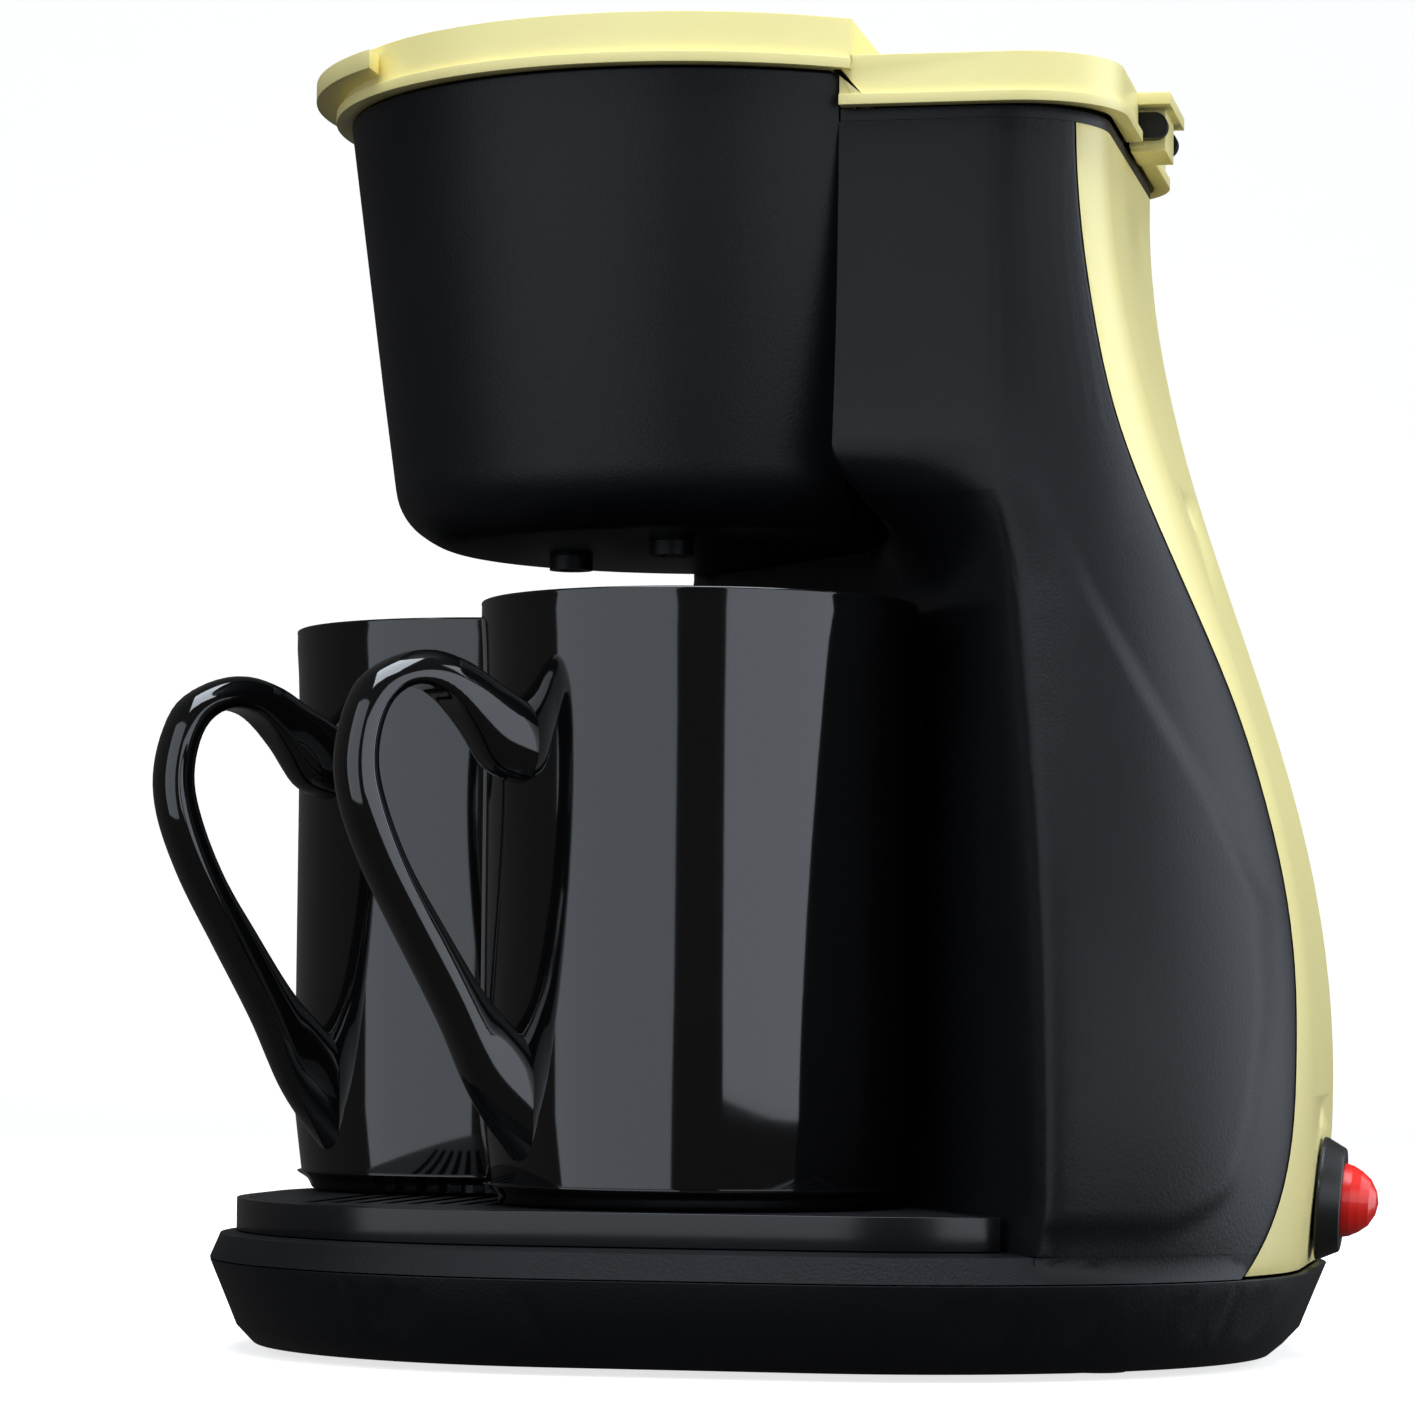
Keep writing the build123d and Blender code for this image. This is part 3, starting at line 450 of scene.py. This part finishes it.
def black_ends_at(z, sign):
    """The direction, from the side towards the rear, at which the black skin meets the rear cover."""
    def is_black(angle):
        a, b = strike(whole_tower, angle, z), strike(only_black, angle, z)
        return b is not None and (a - b).length < FLUSH
    rear = math.pi / 2
    steps = 90
    last = 0.0
    for k in range(steps + 1):
        t = rear * k / steps
        if not is_black(t if sign > 0 else math.pi - t):
            break
        last = t
    lo, hi = last, last + rear / steps
    for _ in range(9):
        mid = (lo + hi) / 2
        if is_black(mid if sign > 0 else math.pi - mid):
            lo = mid
        else:
            hi = mid
    return lo


FACE_EDGE = [(19.0, 80.0), (28.0, 84.0), (40.0, 87.0), (58.0, 89.0), (75.0, 88.0), (92.0, 80.0),
             (108.0, 70.5), (125.0, 61.0), (143.0, 53.0), (170.0, 46.0), (205.0, 42.0)]
FACE_LOW = 22.3


def relief(y, z):
    """How far the side's inner face stands proud of the flat border, in mm."""
    a = between(FACE_EDGE, z) - y
    b = z - FACE_LOW
    if a < FACE_CORNER and b < FACE_CORNER:
        depth = FACE_CORNER - math.hypot(FACE_CORNER - a, FACE_CORNER - b)
    else:
        depth = min(a, b)
    return FACE_PROUD * ease(-0.6, 3.6, depth) * (1.0 - ease(112.0, 165.0, z))


def side_x(z):
    """Half width of the tower just behind its front corner."""
    hit = whole_tower.ray_cast(Vector((OUTSIDE, FRONT_Y + 0.5, z)) * MM, Vector((-1.0, 0.0, 0.0)))[0]
    return hit.x / MM


def skin_row(z, count):
    """One level line round the black tower, from cover edge to cover edge by way of the front."""
    right = black_ends_at(z, 1)
    left = math.pi - black_ends_at(z, -1)
    first, second = (int(count * share) for share in CORNER_SHARES)
    high = max(z, COVE_TOP)
    corner = math.atan2(CENTRE.y - FRONT_Y, side_x(high))
    stops = [(0, right), (first, -corner), (second, corner - math.pi), (count - 1, left - 2 * math.pi)]
    line = [tower_point(between(stops, k), z) for k in range(count)]
    along = [0.0]
    for p, q in zip(line, line[1:]):
        along.append(along[-1] + (q - p).length)
    blur = CORNER_BLUR - (CORNER_BLUR - UPPER_BLUR) * ease(COVE_LOW, COVE_TOP, z)
    soft = []
    for i, p in enumerate(line):
        total, place = 1.0, p.copy()
        j = 1
        while 0 <= i - j and i + j < count and along[i + j] - along[i] < BLUR_REACH * blur:
            weight = math.exp(-0.5 * ((along[i + j] - along[i - j]) / 2 / blur) ** 2)
            place = place + (line[i - j] + line[i + j]) * weight
            total += 2 * weight
            j += 1
        soft.append(place / total)
    out = []
    for i, p in enumerate(soft):
        a, b = soft[max(0, i - 1)], soft[min(count - 1, i + 1)]
        run = (b - a).normalized()
        normal = Vector((-run.y, run.x, 0.0))
        if normal.dot(p - CENTRE) < 0:
            normal = -normal
        on_side = ease(-0.6, -0.15, normal.y)
        out.append(p + normal * relief(p.y, z) * on_side)
    return out


COUNT = 420
STEP = 1.5


def levels(low, high):
    """Even heights from low to high, about STEP apart."""
    n = max(2, int((high - low) / STEP))
    return [low + (high - low) * i / n for i in range(n + 1)]


bm = bmesh.new()
rows = [skin_row(z, COUNT) for z in levels(SKIN_LOW, SHOULDER - 0.05) + levels(SHOULDER + 0.05, SKIN_TOP)]
made = grid(bm, [[p * MM for p in row] for row in rows])
for line in ([r[0] for r in made], [r[-1] for r in made]):
    inward = []
    for v in line:
        way = (CENTRE * MM + Vector((0, 0, v.co.z)) - v.co).normalized()
        inward.append(bm.verts.new(v.co + way * LIP * MM))
    for i in range(len(line) - 1):
        bm.faces.new((line[i], line[i + 1], inward[i + 1], inward[i]))
piece("tower_skin", bm, BLACK, "housing", angle=50)

bm = cad_copy("housing")
bmesh.ops.bisect_plane(bm, geom=bm.verts[:] + bm.edges[:] + bm.faces[:], plane_co=(0, 0, DECK_CUT * MM),
                       plane_no=(0, 0, 1), clear_outer=True)
piece("deck", bm, BLACK, "housing", hide=False)


# ---------------------------------------------------------------- rear cover with its two dimples

DIMPLE_THICK = 2.4


def dimple(x, z, half_x, half_z, depth):
    """An oval tool that bites depth into the rear cover."""
    way = Vector((0, -1, 0))
    hit, normal = whole_tower.ray_cast(Vector((x, 200, z)) * MM, way)[:2]
    if normal.y < 0:
        normal = -normal
    bm = bmesh.new()
    bmesh.ops.create_uvsphere(bm, u_segments=40, v_segments=24, radius=1.0)
    up = (Vector((0, 0, 1)) - normal * normal.z).normalized()
    side = up.cross(normal)
    centre = hit + normal * (DIMPLE_THICK - depth) * MM
    for v in bm.verts:
        c = v.co.copy()
        v.co = centre + (side * c.x * half_x + up * c.y * half_z + normal * c.z * DIMPLE_THICK) * MM
    return tool_object(bm)


cover = piece("rear_panel", cad_copy("rear_cover"), YELLOW, "rear_cover")
soften(cover, 0.35, 40.0, 2)
cut(cover, dimple(6.0, 142.0, 7.5, 4.4, 0.9), dimple(3.0, 41.0, 6.0, 3.6, 0.8))
smooth(cover, 35.0)

# ---------------------------------------------------------------- brew chamber

BUCKET_Y, BUCKET_TOP, BUCKET_FLOOR, BUCKET_BACK = -15.0, 210.2, 136.8, 18.0
RIM_RADIUS, LOW_RADIUS, LOW_Z = 60.6, 52.4, 148.0
SPRAY_NOTCH = (12, 10, 204.7), (36, 30, 215)
bm = bmesh.new()
slope = (RIM_RADIUS - LOW_RADIUS) / (BUCKET_TOP - LOW_Z)
outer_r = [(0, BUCKET_FLOOR, 0), (43.6, BUCKET_FLOOR, 3.0), (51.4, 141.6, 5.2),
           (LOW_RADIUS + slope * 16, 164.0, 0), (RIM_RADIUS, BUCKET_TOP, 0.5)]
inner_r = [(58.4, BUCKET_TOP, 0.5), (50.2, LOW_Z, 2.0), (46.5, BUCKET_FLOOR + 5.2, 2.0),
           (41.0, BUCKET_FLOOR + 2.2, 1.0), (0, BUCKET_FLOOR + 2.2, 0)]
lathe(bm, rounded_profile(outer_r + inner_r, 8), 0.0, BUCKET_Y, 200)
chamber = piece("brew_bucket", bm, BLACK, "brew_chamber")
cut(chamber, box_tool((-100, BUCKET_BACK, 120), (100, 120, 230)))
bm = bmesh.new()
outline = []
for z, radius in [(BUCKET_FLOOR + 0.6, 43.0), (140.0, 48.6), (144.0, 51.4), (150.0, 52.6), (180.0, 56.6),
                  (BUCKET_TOP - 0.2, 60.5)]:
    outline.append((math.sqrt(radius ** 2 - (BUCKET_BACK - BUCKET_Y) ** 2) - 0.4, z))
outline = outline + [(-x, z) for x, z in reversed(outline)]
rows = [[Vector((x, y, z)) * MM for x, z in outline] for y in (BUCKET_BACK - 2.2, BUCKET_BACK - 0.02)]
ends = grid(bm, rows, closed=True)
bm.faces.new(ends[0])
bm.faces.new(ends[-1])
back_wall = piece("chamber_back", bm, BLACK, "brew_chamber", hide=False)
cut(back_wall, box_tool(*SPRAY_NOTCH))
cut(chamber, box_tool(*SPRAY_NOTCH))
smooth(chamber, 35.0)

# ---------------------------------------------------------------- lid, tray, base and small black pieces

STEP_RAMP = [(16.6, 212.2), (16.6, 210.5), (18.4, 210.4), (20.9, 204.9), (22.6, 204.75), (22.6, 206.4)]
STEP_IN, STEP_OUT = 43.0, 51.9
lid = piece("lid_shell", cad_copy("lid"), YELLOW, "lid")
soften(lid, 0.6, 35.0)
for side in (-1, 1):
    bm = bmesh.new()
    low = [bm.verts.new(Vector((side * STEP_IN, y, z)) * MM) for y, z in STEP_RAMP]
    high = [bm.verts.new(Vector((side * STEP_OUT, y, z)) * MM) for y, z in STEP_RAMP]
    bm.faces.new(low)
    bm.faces.new(high)
    for i in range(len(STEP_RAMP)):
        k = (i + 1) % len(STEP_RAMP)
        bm.faces.new((low[i], low[k], high[k], high[i]))
    step = piece("lid_step_right" if side > 0 else "lid_step_left", bm, YELLOW, "lid", hide=False)
    soften(step, 0.3, 30.0, 2)

for name, width in (("drip_tray", 0.7), ("base_plate", 0.7), ("tank_rim", 0.3), ("switch_bezel", 0.35)):
    part = piece(name + "_moulding", cad_copy(name), FINISH[name], name)
    soften(part, width, 25.0)


# ---------------------------------------------------------------- camera, light and floor

AZIMUTH, PITCH, ROLL = math.radians(101.05), math.radians(3.743), 0.009
CAMERA_AT = (0.8318, 0.14985, 0.05423)
LENS, SENSOR = 124.57627, 36.0
WORLD_GLOW, FLOOR_GLOW = 0.06, 0.74
LIGHT_TINT = (0.92, 1.0, 1.10)
AIM = Vector((0.0, 0.0, 0.1))
FLOOR_FRONT, FLOOR_BACK, FLOOR_BEND, FLOOR_TOP, HALF_FLOOR = -3.0, 1.6, 0.8, 4.0, 4.0
ahead = Vector((-math.sin(AZIMUTH), math.cos(AZIMUTH), 0.0))
level = Vector((math.cos(AZIMUTH), math.sin(AZIMUTH), 0.0))
forward = ahead * math.cos(PITCH) + Vector((0, 0, math.sin(PITCH)))
rise = Vector((0, 0, math.cos(PITCH))) - ahead * math.sin(PITCH)
right = level * math.cos(ROLL) + rise * math.sin(ROLL)
upward = rise * math.cos(ROLL) - level * math.sin(ROLL)
camera = bpy.data.objects.new("camera", bpy.data.cameras.new("camera"))
bpy.context.scene.collection.objects.link(camera)
turn = Matrix((right, upward, -forward)).transposed()
camera.matrix_world = Matrix.Translation(CAMERA_AT) @ turn.to_4x4()
camera.data.sensor_width = SENSOR
camera.data.lens = LENS
camera.data.clip_start = 0.01
camera.data.clip_end = 50.0
bpy.context.scene.camera = camera

world = bpy.data.worlds.new("studio")
world.use_nodes = True
sky = world.node_tree.nodes["Background"]
sky.inputs["Color"].default_value = (1.0, 1.0, 1.0, 1.0)
sky.inputs["Strength"].default_value = WORLD_GLOW
bpy.context.scene.world = world
bpy.context.scene.view_settings.view_transform = "Standard"


def softbox(name, angle, height, distance, width, tall, glow):
    """A soft light at a plan angle from +X, aimed at the middle of the object; glow is its brightness."""
    light = bpy.data.lights.new(name, "AREA")
    light.shape = "RECTANGLE"
    light.size = width
    light.size_y = tall
    light.energy = glow * math.pi * width * tall
    light.color = LIGHT_TINT
    obj = bpy.data.objects.new(name, light)
    bpy.context.scene.collection.objects.link(obj)
    a = math.radians(angle)
    obj.location = (distance * math.cos(a), distance * math.sin(a), height)
    obj.rotation_euler = (AIM - obj.location).to_track_quat("-Z", "Y").to_euler()


softbox("soft_right", 56.0, 0.24, 1.3, 1.65, 0.75, 1.5)
softbox("soft_left", -34.0, 0.30, 1.3, 1.75, 1.5, 1.12)
softbox("soft_top", 20.0, 1.35, 0.25, 1.2, 1.2, 5.9)
softbox("soft_rear", 112.0, 0.35, 1.3, 1.1, 1.4, 2.2)

bm = bmesh.new()
bend = [math.pi / 2 * k / 16 for k in range(1, 17)]
sweep = [(FLOOR_FRONT, 0.0), (FLOOR_BACK, 0.0)]
sweep += [(FLOOR_BACK + FLOOR_BEND * math.sin(a), FLOOR_BEND - FLOOR_BEND * math.cos(a)) for a in bend]
sweep += [(FLOOR_BACK + FLOOR_BEND, FLOOR_TOP)]
rows = []
for along, z in sweep:
    middle = ahead * along + Vector((0, 0, z))
    rows.append([middle - level * HALF_FLOOR, middle + level * HALF_FLOOR])
grid(bm, rows)
mesh = bpy.data.meshes.new("floor")
bm.to_mesh(mesh)
bm.free()
floor = bpy.data.objects.new("floor", mesh)
bpy.context.scene.collection.objects.link(floor)
paper = material("pale_floor", (0.80, 0.80, 0.79), 0.7, grain=0.02, grain_size=2.0, mottle=0.01)
paper_shader = paper.node_tree.nodes["Principled BSDF"]
paper_shader.inputs["Emission Color"].default_value = (1.0, 1.0, 1.0, 1.0)
paper_shader.inputs["Emission Strength"].default_value = FLOOR_GLOW
floor.data.materials.append(paper)
floor.visible_diffuse = False
floor.visible_glossy = False
smooth(floor, 60.0)
